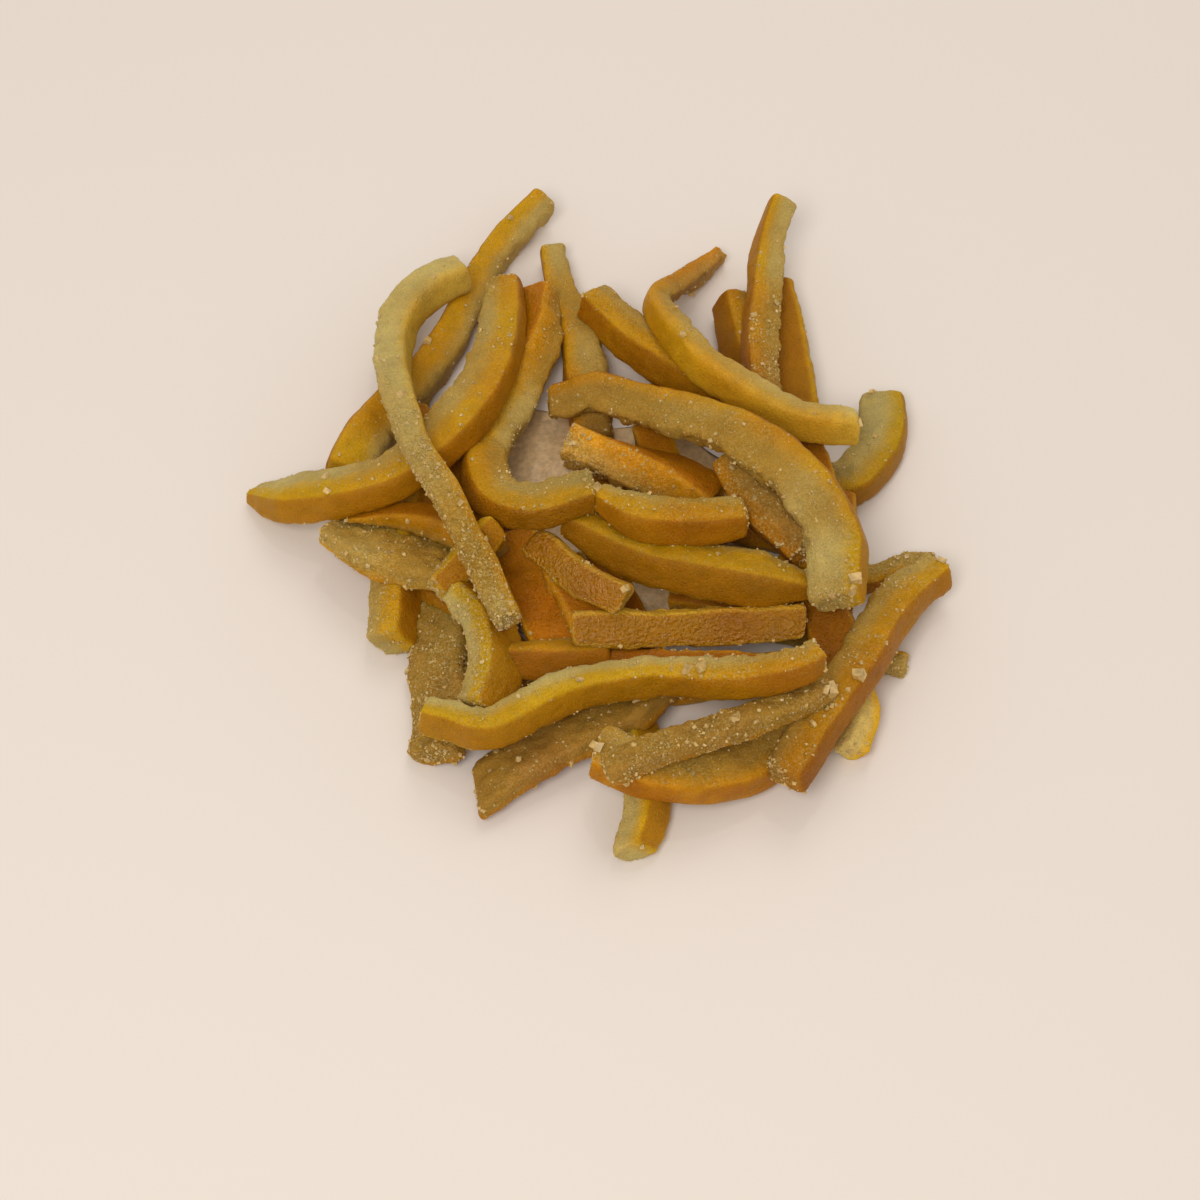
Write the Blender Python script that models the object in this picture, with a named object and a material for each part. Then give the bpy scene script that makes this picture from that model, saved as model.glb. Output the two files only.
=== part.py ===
"""A loose heap of candied orange-peel strips, as one solid out to its uneven outline.

The strips are laid one after another, lowest first, along plan routes in millimetres.
Each is a bendy bar with a rounded oblong section that sags onto whatever lies below it.
A low mound fills the hidden middle, the whole is fused into one skin, and its underside
is cut flat where the heap meets the table. Units: millimetres here, metres in the mesh.
"""

import math

import bmesh
import bpy
import numpy as np

MM = 0.001

# Laying
STEP = 2.0                 # distance between stations along a strip
GRID = 0.5                 # cell of the height grid that strips are laid on
REACH = 75.0               # the height grid runs this far each way from the middle
STIFFNESS = 5000.0         # bending stiffness over weight per length, mm^3
CONTACT = 400.0            # push of the pile on a strip for each mm it sinks in
TIP_LENGTH = 8.0           # a strip narrows over this length at its ends
CURL_LENGTH = 26.0         # a raised tip curls up over this length
SECTION_SIDES = 28         # points round a section while it is laid
SQUARENESS = 3.6           # 2 is an ellipse, higher is closer to an oblong

# Fused solid
SOLID_SIDES = 12           # points round a section in the solid
SINK = 0.5                 # the heap settles this far, so that its feet are cut flat
MOUND_RADIUS = 37.0
MOUND_HEIGHT = 9.0
MOUND_DEPTH = 2.5          # the mound starts this far below the table, before the cut
MOUND_RINGS = 8
MOUND_SIDES = 40
VOXEL = 1.15
TRIANGLES = 8800

PEEL_COLOUR = (0.40, 0.19, 0.035, 1.0)


def strip(name, width, depth, route, turn=(90,), level=(8,), tips=(0.88, 0.88),
          curl=(0, 0), swell=(1, 1)):
    """One strip: width along the rind, depth from rind to pith, plan route in mm.

    turn is where the rind faces, in degrees from straight up towards the right of travel.
    level caps how high the strip's middle is carried by the pile below it.
    tips scale the section at both ends, curl raises the ends, swell scales it along.
    """
    return dict(name=name, width=width, depth=depth, route=route, turn=turn, level=level,
                tips=tips, curl=curl, swell=swell)


# Lowest first.
STRIPS = (
    strip("front_stub", 6.8, 5.5, [(6, -62), (8, -54.5), (7.5, -45), (5, -36), (3, -26)],
          turn=(55, 60, 20, 0), level=(3.2,)),
    strip("front_left_wedge", 10, 4.5,
          [(-17.5, -52), (-12.5, -48), (-5.5, -44), (4, -39.5), (11.5, -33)],
          turn=(160, 140), level=(3, 5), tips=(0.75, 0.8)),
    strip("left_ragged", 10, 5,
          [(-24, -46), (-22.5, -38.5), (-23.5, -30), (-22.5, -20), (-19.5, -11.5)],
          turn=(150,), level=(3.2,)),
    strip("left_dark", 7, 4.5, [(-28, -12.5), (-22.5, -18.5), (-15.5, -25.5), (-8, -31.5)],
          turn=(-20,), level=(4,)),
    strip("right_sliver", 4, 4, [(48.5, -29), (42.5, -27.5), (35.5, -24.5), (27.5, -22.5)],
          level=(2.2,)),
    strip("right_foot", 6, 5, [(39, -45), (40.5, -38.5), (39, -31.5), (36, -23.5)],
          turn=(120,), level=(3, 5)),
    strip("right_backing", 4.5, 4,
          [(54, -10.5), (48.5, -11.5), (43, -13.5), (35.5, -14.5), (28, -16)],
          turn=(-90,), level=(2.5, 4)),
    strip("left_stub", 8.5, 7.5,
          [(-31, -26.5), (-30.5, -18.5), (-30, -9.5), (-28.5, -1.5), (-24.5, 7.5)],
          turn=(60,), level=(3.5,)),
    strip("back_left_arc", 5.5, 5.5,
          [(-8.5, 61), (-14, 55), (-18.5, 47.5), (-22.5, 37), (-26.5, 28), (-31.5, 20),
           (-36.5, 12), (-39.5, 4.5)],
          turn=(75,), level=(3,), curl=(12, 0), swell=(1, 1, 1.05, 1.1, 1.4, 1.6)),
    strip("back_middle", 5.5, 5.5, [(-7, 52), (-5.5, 43.5), (-2.5, 35), (-1, 23), (0, 12)],
          level=(3,), curl=(8, 0), swell=(0.85, 1, 1.35, 1.3)),
    strip("right_hook", 6, 8.0,
          [(47.5, 21.5), (47, 14.5), (44, 7.5), (39.5, 4), (33, 5), (27.5, 8.5)],
          turn=(-80,), level=(3.3, 8)),
    strip("back_right_inner", 7, 5, [(22.5, 40.5), (24, 31.5), (26.5, 22.5), (28.5, 15)],
          turn=(60,), level=(4, 5), curl=(6, 0)),
    strip("back_right_dark", 8, 4.5, [(30, 43.5), (31.5, 31.5), (32.8, 13)],
          turn=(10,), level=(4, 5), curl=(6, 0)),
    strip("well_dark", 5.5, 4.5, [(-0.5, -3.5), (4, -16), (7.5, -27)],
          turn=(0,), level=(3,)),
    strip("under_left_long", 6, 5, [(-21, 16), (-20, 4), (-26, -6)],
          turn=(20,), level=(3,)),
    strip("under_middle", 6, 5, [(-17, -2), (1, 2), (17, -2), (33, -6)],
          turn=(20,), level=(3,)),
    strip("under_front", 6, 5, [(-1, -30), (13, -33), (29, -30)],
          turn=(20,), level=(3,)),
    strip("wide_rind", 9, 4.5, [(-13, -5.5), (-8.5, -17.5), (-5, -28), (-1, -36)],
          turn=(10,), level=(6,)),
    strip("right_low_dark", 5, 4.5, [(12, -16.5), (21.5, -19), (32, -21.5), (40, -19.5)],
          turn=(0,), level=(5,)),
    strip("middle_low_dark", 8, 4.5, [(-5, -14), (-0.5, -23), (1, -32)],
          turn=(0,), level=(8,)),
    strip("under_left_short", 6, 5, [(-33, 6), (-25, -6), (-19, -18)],
          turn=(20,), level=(6,)),
    strip("under_back", 6, 5, [(7, 21), (19, 18), (35, 6)],
          turn=(10,), level=(6,)),
    strip("under_right", 6, 5, [(39, 0), (38, -10), (31, -26)],
          turn=(0,), level=(6,)),
    strip("prop_middle", 6, 5, [(9, 12), (12, -2), (13, -16)],
          turn=(0,), level=(8,)),
    strip("prop_right", 6, 5, [(34, 8), (35, -2), (31, -16)],
          turn=(0,), level=(9,)),
    strip("prop_left", 6, 5, [(-29, 14), (-21, -1), (-15, -13)],
          turn=(0,), level=(9,)),
    strip("bar_backing", 5.0, 4.5, [(1, -32.5), (12, -33), (24, -33), (35, -31.5)],
          turn=(10,), level=(8,)),
    strip("left_wide", 13.5, 5.0, [(-41, -6.5), (-33, -10.5), (-24.5, -13.5), (-16, -16.5)],
          turn=(155,), swell=(0.8, 1.05, 1, 0.9)),
    strip("right_dark", 7.5, 4.5, [(34.5, -20), (37, -29), (37.5, -37.5)],
          turn=(10,), level=(9,)),
    strip("middle_lens", 9.5, 7.5, [(-4, 7.2), (4.5, 3.2), (12, 0.2), (19.5, -3.8)],
          turn=(-75, -20), level=(10,)),
    strip("back_right_tall", 5.5, 5.5, [(31.5, 54.5), (29.5, 48.5), (28, 37.5), (27, 26), (27, 12)],
          turn=(70,), level=(8, 12), curl=(12, 0)),
    strip("back_slope", 7, 6.5, [(-0.5, 38), (7.5, 28.5), (18, 19), (25, 12.5)],
          turn=(75,), level=(7, 11), curl=(4, 0)),
    strip("front_block", 6, 5, [(-13, -32), (-3.5, -32.5), (2.5, -31.5)],
          turn=(50,), level=(9,)),
    strip("left_band", 4.5, 4.5, [(-38.5, -7.5), (-30, -7.5), (-23.5, -9.5), (-17.5, -14)],
          turn=(-20,), level=(12, 13), tips=(0.3, 0.9), swell=(0.6, 0.8, 1.1, 1.2)),
    strip("left_upright", 9.5, 5.2, [(-20, -20.5), (-16, -26), (-14.5, -34), (-16.5, -42)],
          turn=(-50,), level=(10,)),
    strip("glossy_bar", 5.6, 4.5, [(-3, -29.5), (8.5, -28), (19.5, -27), (32.5, -27)],
          turn=(40,), level=(13,)),
    strip("glossy_bend", 5.8, 4.5, [(-9, -12), (-5.5, -16.5), (-1.5, -21.5), (5, -26)],
          turn=(30,), level=(16, 15)),
    strip("front_smile", 6, 8.5, [(0.5, -49), (7.5, -51), (15.5, -51), (24, -47.5), (30.5, -40.5)],
          turn=(85,), level=(9,)),
    strip("right_long", 6, 7,
          [(54, -14), (48.5, -19.5), (44, -26.5), (40.5, -33.5), (36.5, -40), (32.5, -46),
           (28.5, -52.5)],
          turn=(-75,), level=(8, 13), curl=(5, 0)),
    strip("middle_long", 7, 7.0, [(-4, -9.5), (4, -14), (12, -17.3), (21, -19.8), (33.2, -22.8)],
          turn=(65,), level=(14,), tips=(0.8, 0.4), swell=(0.85, 0.95, 1.05, 1.1, 1.1)),
    strip("left_short", 5.0, 4.6, [(-15, -12), (-18.5, -16), (-23.8, -21.5)],
          turn=(-30,), level=(15, 12)),
    strip("j_strip", 5.8, 7,
          [(-9, 40), (-9, 30), (-13, 16.5), (-16.5, 4), (-15.5, -5.5), (-9.5, -9), (0, -7)],
          turn=(20, 70, 80, 80), level=(8, 13, 18)),
    strip("left_arc", 6, 7.8,
          [(-55, 3.5), (-46.5, -1.5), (-34.5, -3), (-25.5, 1.5), (-18.5, 11), (-15, 25),
           (-14.5, 39.5)],
          turn=(75,), level=(4, 12, 20, 20, 14), tips=(0.45, 0.85),
          swell=(1, 1, 1, 1, 0.95, 0.8)),
    strip("right_inner", 6, 6, [(21, 0.5), (25, -7), (29.5, -12.5), (32.5, -16)],
          turn=(110,), level=(15,)),
    strip("middle_smile", 6.3, 6.4, [(0.5, -8), (7, -12), (15, -13), (23.5, -12)],
          turn=(75,), level=(18,), tips=(0.5, 0.8)),
    strip("back_hook", 5.7, 4.2,
          [(21.5, 52), (16, 44.5), (11.0, 37.5), (10.8, 32), (14, 23.5), (18.5, 16.5),
           (26.5, 10.5), (32.5, 8), (42, 8.5)],
          turn=(75,), level=(12, 14, 17, 17), curl=(10, 0), swell=(0.85, 0.95, 1.1, 1.15)),
    strip("big_arc", 5, 7.5,
          [(-7, 17), (1, 16.5), (9, 11), (17, 5.5), (24, 0), (30, -5.5), (34.5, -11.5),
           (37, -18.5), (37, -27)],
          turn=(-70,), level=(16, 20, 24, 20), swell=(0.85, 0.95, 1, 1.15, 1.2)),
    strip("front_sugared", 4.8, 4.4, [(2, -54), (10, -50.5), (19, -47), (28, -43.5), (35.5, -40.5)],
          turn=(160,), level=(14,)),
    strip("front_backing", 5.0, 4.5, [(20, -41.5), (26, -41), (32, -39), (38, -37)],
          turn=(20,), level=(4,), tips=(0.8, 0.8)),
    strip("front_long", 6.4, 4.7,
          [(-25.5, -42), (-21.5, -43.5), (-16, -45.5), (-11, -43.5), (-5, -40), (1, -38),
           (8.5, -37.5), (16, -39), (23, -40), (30.5, -39.5), (33.5, -38)],
          turn=(80,), level=(14, 18, 20)),
    strip("top_left_s", 4.8, 4.8,
          [(-21.5, 43), (-27, 40), (-31, 34.5), (-32.5, 26.5), (-31.5, 15), (-29.5, 6),
           (-27.5, -1), (-24.5, -6.5), (-21, -12), (-18.5, -17.5), (-15.5, -23), (-12.5, -29)],
          turn=(-70, -85, -85), level=(18, 24, 29, 24), swell=(1.3, 1.2, 1, 1.0)),
)


def clear_scene():
    for obj in list(bpy.data.objects):
        bpy.data.objects.remove(obj, do_unlink=True)


def along_values(values, count):
    """Spreads a few values evenly over count stations."""
    values = list(values)
    if len(values) == 1:
        values = values * 2
    return np.interp(np.linspace(0, 1, count), np.linspace(0, 1, len(values)), values)


def smooth_route(points):
    """Stations STEP apart on a Catmull-Rom curve through the plan points."""
    p = np.asarray(points, float)
    ends = np.vstack([2 * p[0] - p[1], p, 2 * p[-1] - p[-2]])
    t = np.linspace(0, 1, 24, endpoint=False)[:, None]
    pieces = []
    for a, b, c, d in zip(ends[:-3], ends[1:-2], ends[2:-1], ends[3:]):
        square = (2 * a - 5 * b + 4 * c - d) * t ** 2
        cube = (3 * b - a - 3 * c + d) * t ** 3
        pieces.append(0.5 * (2 * b + (c - a) * t + square + cube))
    fine = np.vstack(pieces + [p[-1:]])
    run = np.concatenate([[0], np.cumsum(np.linalg.norm(np.diff(fine, axis=0), axis=1))])
    count = max(4, int(round(run[-1] / STEP)) + 1)
    want = np.linspace(0, run[-1], count)
    stations = np.stack([np.interp(want, run, fine[:, k]) for k in range(2)], axis=1)
    return stations, run[-1]


def section_ring(sides):
    """A unit rounded oblong: first column across the rind, second from pith to rind."""
    angle = np.linspace(0, 2 * math.pi, sides, endpoint=False)
    ring = np.stack([np.cos(angle), np.sin(angle)], axis=1)
    return np.sign(ring) * np.abs(ring) ** (2 / SQUARENESS) / 2


def sections(row, count, length, sides):
    """Sideways and upward offsets of every section point, for every station."""
    ring = section_ring(sides) * (row["width"], row["depth"])
    run = np.linspace(0, length, count)
    size = along_values(row["swell"], count)
    size = size * np.interp(run, [0, TIP_LENGTH], [row["tips"][0], 1])
    size = size * np.interp(length - run, [0, TIP_LENGTH], [row["tips"][1], 1])
    turn = np.radians(along_values(row["turn"], count))[:, None]
    across = ring[None, :, 0] * size[:, None]
    outward = ring[None, :, 1] * size[:, None]
    sideways = across * np.cos(turn) + outward * np.sin(turn)
    upward = outward * np.cos(turn) - across * np.sin(turn)
    return sideways, upward


def right_of_travel(stations):
    ahead = np.gradient(stations, axis=0)
    ahead /= np.linalg.norm(ahead, axis=1)[:, None]
    return np.stack([ahead[:, 1], -ahead[:, 0]], axis=1)


def grid_cells(x, y):
    last = int(2 * REACH / GRID)
    i = np.clip(np.rint((x + REACH) / GRID).astype(int), 0, last)
    j = np.clip(np.rint((y + REACH) / GRID).astype(int), 0, last)
    return i, j


def sag(support, spacing):
    """Heights of a heavy bendy bar over its supports: bending against weight and contact."""
    count = len(support)
    second = np.zeros((count - 2, count))
    for i in range(count - 2):
        second[i, i:i + 3] = (1, -2, 1)
    second /= spacing ** 2
    bending = STIFFNESS * spacing * second.T @ second
    touching = np.ones(count, bool)
    height = support.copy()
    for _ in range(60):
        push = np.where(touching, CONTACT, 0.0)
        matrix = bending + np.diag(push) + np.eye(count) * 1e-4
        height = np.linalg.solve(matrix, push * support - spacing + 1e-4 * height)
        now = height < support
        if not now.any():
            now[np.argmin(height - support)] = True
        if (now == touching).all():
            break
        touching = now
    return height


def lay(row, ground):
    """Finds the strip's resting heights on the ground grid."""
    stations, length = smooth_route(row["route"])
    count = len(stations)
    right = right_of_travel(stations)
    sideways, upward = sections(row, count, length, SECTION_SIDES)
    x = stations[:, None, 0] + sideways * right[:, None, 0]
    y = stations[:, None, 1] + sideways * right[:, None, 1]
    below = ground[grid_cells(x, y)] - upward
    support = np.where(upward < 0.15 * row["depth"], below, -1e9).max(axis=1)
    on_table = -upward.min(axis=1)
    cap = np.maximum(along_values(row["level"], count), on_table)
    support = np.clip(support, on_table, cap)
    run = np.linspace(0, length, count)
    raised = row["curl"][0] * np.clip(1 - run / CURL_LENGTH, 0, 1) ** 2
    raised += row["curl"][1] * np.clip(1 - (length - run) / CURL_LENGTH, 0, 1) ** 2
    height = sag(support - raised, length / (count - 1)) + raised
    return stations, height, right, length


def raise_ground(row, laid, ground):
    """Adds a laid strip's top to the height grid."""
    stations, height, right, length = laid
    finer = 4
    count = (len(stations) - 1) * finer + 1
    at = np.linspace(0, 1, count)
    old = np.linspace(0, 1, len(stations))
    centre = np.stack([np.interp(at, old, stations[:, k]) for k in range(2)], axis=1)
    side = np.stack([np.interp(at, old, right[:, k]) for k in range(2)], axis=1)
    top = np.interp(at, old, height)
    sideways, upward = sections(row, count, length, SECTION_SIDES)
    for share in (0.0, 0.34, 0.67):
        s = sideways * (1 - share) + np.roll(sideways, -1, axis=1) * share
        u = upward * (1 - share) + np.roll(upward, -1, axis=1) * share
        x = centre[:, None, 0] + s * side[:, None, 0]
        y = centre[:, None, 1] + s * side[:, None, 1]
        np.maximum.at(ground, grid_cells(x, y), top[:, None] + u)


def add_tube(mesh, rings):
    """A closed tube through rings of points, with flat ends."""
    loops = [[mesh.verts.new(point) for point in ring] for ring in rings]
    sides = len(loops[0])
    for one, two in zip(loops[:-1], loops[1:]):
        for k in range(sides):
            after = (k + 1) % sides
            mesh.faces.new((one[k], one[after], two[after], two[k]))
    mesh.faces.new(loops[0])
    mesh.faces.new(reversed(loops[-1]))


def add_strip(mesh, row, laid):
    stations, height, right, length = laid
    sideways, upward = sections(row, len(stations), length, SOLID_SIDES)
    rings = np.stack([stations[:, None, 0] + sideways * right[:, None, 0],
                      stations[:, None, 1] + sideways * right[:, None, 1],
                      height[:, None] + upward - SINK], axis=-1)
    add_tube(mesh, rings * MM)


def add_mound(mesh):
    """The hidden middle: a low dome under the strips."""
    rings = []
    for level in np.linspace(0, 1, MOUND_RINGS):
        radius = MOUND_RADIUS * math.sqrt(1 - 0.97 * level)
        z = -MOUND_DEPTH + (MOUND_HEIGHT + MOUND_DEPTH) * level
        angle = np.linspace(0, 2 * math.pi, MOUND_SIDES, endpoint=False)
        flat = np.full(MOUND_SIDES, z)
        rings.append(np.stack([radius * np.cos(angle), radius * np.sin(angle), flat], axis=1))
    add_tube(mesh, np.array(rings) * MM)


def peel_material():
    material = bpy.data.materials.new("candied_peel")
    material.use_nodes = True
    shader = material.node_tree.nodes["Principled BSDF"]
    shader.inputs["Base Color"].default_value = PEEL_COLOUR
    shader.inputs["Roughness"].default_value = 0.4
    shader.inputs["Metallic"].default_value = 0.0
    return material


def new_object(name, mesh):
    obj = bpy.data.objects.new(name, mesh)
    bpy.context.scene.collection.objects.link(obj)
    return obj


def settle_modifier(obj, kind, **settings):
    """Applies one modifier and leaves the object with the plain result."""
    modifier = obj.modifiers.new(kind.title(), kind)
    for key, value in settings.items():
        setattr(modifier, key, value)
    bpy.context.view_layer.update()
    graph = bpy.context.evaluated_depsgraph_get()
    result = bpy.data.meshes.new_from_object(obj.evaluated_get(graph))
    obj.modifiers.clear()
    obj.data = result


def keep_largest_body(obj):
    """Drops loose crumbs and sealed bubbles that fusing leaves."""
    work = bmesh.new()
    work.from_mesh(obj.data)
    unseen = set(work.verts)
    bodies = []
    while unseen:
        front = [unseen.pop()]
        body = set(front)
        while front:
            vert = front.pop()
            for edge in vert.link_edges:
                other = edge.other_vert(vert)
                if other in unseen:
                    unseen.remove(other)
                    body.add(other)
                    front.append(other)
        bodies.append(body)
    largest = max(bodies, key=len)
    loose = [vert for vert in work.verts if vert not in largest]
    bmesh.ops.delete(work, geom=loose, context="VERTS")
    work.to_mesh(obj.data)
    work.free()


def fuse(obj):
    """One skin round everything, thinned to a modest number of triangles."""
    settle_modifier(obj, "REMESH", mode="VOXEL", voxel_size=VOXEL * MM)
    keep_largest_body(obj)
    triangles = sum(len(face.vertices) - 2 for face in obj.data.polygons)
    settle_modifier(obj, "DECIMATE", ratio=TRIANGLES / triangles)
    keep_largest_body(obj)


def cut_underside(obj):
    """Cuts everything below the table away, which leaves the flat base."""
    work = bmesh.new()
    bmesh.ops.create_cube(work, size=1.0)
    bmesh.ops.scale(work, vec=(0.3, 0.3, 0.02), verts=work.verts)
    bmesh.ops.translate(work, vec=(0, 0, -0.01), verts=work.verts)
    block = bpy.data.meshes.new("below_table")
    work.to_mesh(block)
    work.free()
    cutter = new_object("below_table", block)
    settle_modifier(obj, "BOOLEAN", operation="DIFFERENCE", object=cutter, solver="EXACT")
    bpy.data.objects.remove(cutter, do_unlink=True)
    keep_largest_body(obj)


def build_heap():
    last = int(2 * REACH / GRID)
    ground = np.zeros((last + 1, last + 1))
    work = bmesh.new()
    for row in STRIPS:
        laid = lay(row, ground)
        raise_ground(row, laid, ground)
        add_strip(work, row, laid)
    add_mound(work)
    bmesh.ops.recalc_face_normals(work, faces=work.faces)
    mesh = bpy.data.meshes.new("peel_heap")
    work.to_mesh(mesh)
    work.free()
    heap = new_object("peel_heap", mesh)
    fuse(heap)
    cut_underside(heap)
    heap.data.materials.clear()
    heap.data.materials.append(peel_material())
    heap.data.shade_smooth()
    heap.data.set_sharp_from_angle(angle=math.radians(50))
    return heap


clear_scene()
build_heap()
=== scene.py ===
"""Looks for a loose heap of candied orange-peel strips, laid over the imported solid.

The strips are laid again here, one after another and lowest first, by the rule that the
solid follows: each is a bendy bar that sags onto whatever lies below it. Each strip then
becomes a finely meshed bar of its own, with a waxy pored rind, cut sides that fade from
amber to pale, a torn sugary pith and cut ends. Loose sugar lies on top, and a low mound
lies underneath.
Units: millimetres while laying and shaping, metres in the meshes.
"""

import math

import bpy
import numpy as np
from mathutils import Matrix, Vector


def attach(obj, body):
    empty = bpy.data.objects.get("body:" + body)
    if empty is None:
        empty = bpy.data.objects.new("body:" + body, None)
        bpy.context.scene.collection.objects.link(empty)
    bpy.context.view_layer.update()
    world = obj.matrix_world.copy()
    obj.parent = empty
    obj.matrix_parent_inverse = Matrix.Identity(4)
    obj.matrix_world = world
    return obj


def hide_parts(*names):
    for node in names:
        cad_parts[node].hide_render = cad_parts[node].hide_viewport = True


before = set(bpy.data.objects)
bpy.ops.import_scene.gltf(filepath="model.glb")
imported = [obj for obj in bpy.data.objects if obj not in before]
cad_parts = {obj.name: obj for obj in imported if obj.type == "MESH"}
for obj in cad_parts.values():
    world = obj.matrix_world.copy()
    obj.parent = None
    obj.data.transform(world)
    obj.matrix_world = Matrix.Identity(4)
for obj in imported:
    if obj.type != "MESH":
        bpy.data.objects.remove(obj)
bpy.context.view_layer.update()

BODY = "root"
NODE = "peel_heap"
MM = 0.001

# Laying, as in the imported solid
STEP = 2.0                 # distance between stations along a strip
GRID = 0.5                 # cell of the height grid that strips are laid on
REACH = 75.0               # the height grid runs this far each way from the middle
STIFFNESS = 5000.0         # bending stiffness over weight per length, mm^3
CONTACT = 400.0            # push of the pile on a strip for each mm it sinks in
TIP_LENGTH = 8.0           # a strip narrows over this length at its ends
CURL_LENGTH = 26.0         # a raised tip curls up over this length
SECTION_SIDES = 28         # points round a section while it is laid
SQUARENESS = 3.6           # 2 is an ellipse, higher is closer to an oblong
SINK = 0.5                 # the heap settles this far onto the table
SAG_ROUNDS = 60            # most tries at finding where a strip touches

# Fine meshes
CRISPNESS = 4.4            # squareness of the fine sections
CELL = 0.42                # length of a mesh cell on a strip that shows
HIDDEN_CELL = 0.9          # and on a strip that holds the heap up from inside
END_ROUND = 0.7            # radius of the edge round a cut end
END_CELLS = 5              # rings from the middle of an end out to its edge
UNEVEN = 0.09              # how much a strip's width and depth wander along it
UNEVEN_SIZE = 7.0          # over about this length
FINE_STEP = 0.25           # distance between the points that a fine route is drawn with
HEIGHT_WINDOW = 17         # points that a fine strip's height is averaged over
ROUTE_WINDOW = 9           # and those for the direction it travels in
CLEARANCE = 0.02           # nothing goes lower than this above the table
LAYERS = 5                 # the plain strips are joined into this many pieces
WET_GLOSS = 0.9            # strips this glossy get the wet finish

# Relief of the meshes, in mm: how far each kind pushes, and how far apart it lies
LUMP_PUSH = 0.30
LUMP_SIZE = 6.5
BUMP_PUSH = 0.34
BUMP_SIZE = 2.6
BITE_SIZE = 4.2
TUFT_SIZE = 1.3
GRIT_PUSH = 0.15
SUGAR_GRIT_PUSH = 0.22
GRIT_SIZE = 0.95
PORE_DEPTH = 0.10
GLOSSY_PORE_DEPTH = 0.12
PORE_SIZE = 1.15

# Finishes: texture sizes in mm, then constants of the shader
MOTTLE_SIZE = 2.6
FROST_SIZE = 0.42
SPECK_SIZE = 0.20
PORE_CELL = 0.55
RIPPLE_SIZE = 0.6
RIPPLE_HEIGHT = 3.0
TEXTURE_DEPTH = 0.34
PEEL_SHINE = 0.14
WET_SHINE = 0.7
PEEL_SMOOTHEST = 0.3
WET_SMOOTHEST = 0.08
PEEL_SUBSURFACE = 0.55
PEEL_SUBSURFACE_SCALE = 1.6
SUGAR_SUBSURFACE = 0.3
SUGAR_SUBSURFACE_SCALE = 0.5
SUGAR_ROUGHNESS = 0.3

# Loose sugar and the core under the heap
GRAINS = 13000
GRAIN_KINDS = 12
GRAIN_SIZE = 0.20
GRAIN_SEED = 7
# strip, share of its length, size in mm
CRUMBS = (
    ("back_left_arc", 0.15, 0.8), ("back_left_arc", 0.55, 1.0), ("back_hook", 0.5, 1.1),
    ("back_hook", 0.985, 1.0), ("back_right_tall", 0.55, 0.8), ("glossy_bend", 0.85, 0.9),
    ("front_long", 0.42, 0.9), ("front_long", 0.66, 1.6), ("front_long", 0.69, 1.3),
    ("front_sugared", 0.55, 1.1), ("front_sugared", 0.90, 1.5), ("front_sugared", 0.94, 1.8),
    ("front_sugared", 0.97, 1.4), ("right_long", 0.6, 1.4), ("big_arc", 0.93, 1.5),
    ("big_arc", 0.96, 1.2), ("j_strip", 0.98, 1.2), ("front_smile", 0.05, 1.4),
    ("front_smile", 0.10, 1.5),
)
CORE_PLACE = (1.0, -2.0)
CORE_RADII = (27.0, 22.0)
CORE_HEIGHT = 2.2
CORE_RINGS = 40
CORE_SIDES = 160
CORE_LUMP_SIZE = 6.0
CORE_CRUST_SIZE = 1.4
CORE_SEED = 901

# Camera and light
CAMERA_PLACE = (1.1, -251.7, 377.0)      # mm
CAMERA_ELEVATION = 58.0
CAMERA_LENS = 84.68                      # mm on a 36 mm sensor
FLOOR_SIZE = 3.0                         # metres
FLOOR_COLOUR = (0.80, 0.705, 0.615)
WORLD_COLOUR = (1.0, 0.985, 0.97)
WORLD_STRENGTH = 0.55
# name, place in metres, size in metres, power in watts
LAMPS = (
    ("front_lamp", (-0.14, -0.42, 0.68), 0.34, 2.8),
    ("back_lamp", (0.10, 0.42, 0.62), 0.35, 0.7),
    ("glint_lamp", (0.06, 0.20, 0.75), 0.05, 0.25),
)


def strip(name, width, depth, route, turn=(90,), level=(8,), tips=(0.88, 0.88),
          curl=(0, 0), swell=(1, 1), amber=(0.3,), warm=(0.5,), tone_and_painted_light=(1.0,), sugar=(0.4,),
          skin=(1,), gloss=0.3, torn=0.5, slant=(0, 0), hidden=False):
    """One strip: width along the rind, depth from rind to pith, plan route in mm.

    turn is where the rind faces, in degrees from straight up towards the right of travel.
    level caps how high the strip's middle is carried by the pile below it.
    tips scale the section at both ends, curl raises the ends, swell scales it along.
    amber is the share of the depth that is steeped amber, warm runs from yellow to brown,
    tone is brightness, partly the strip's own and partly painted light that brightens strips
    lying in shade, skin is how deep the rind's colour is, sugar how grainy the cut is
    and gloss how waxy the rind is. torn is how deep the pith is bitten, in mm, and slant
    skews the cut ends. A hidden strip holds the heap up from inside: it is meshed coarsely
    and carries no grains.
    """
    return dict(name=name, width=width, depth=depth, route=route, turn=turn, level=level,
                tips=tips, curl=curl, swell=swell, amber=amber, warm=warm, tone_and_painted_light=tone_and_painted_light,
                skin=skin, sugar=sugar, gloss=gloss, torn=torn, slant=slant, hidden=hidden)
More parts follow.
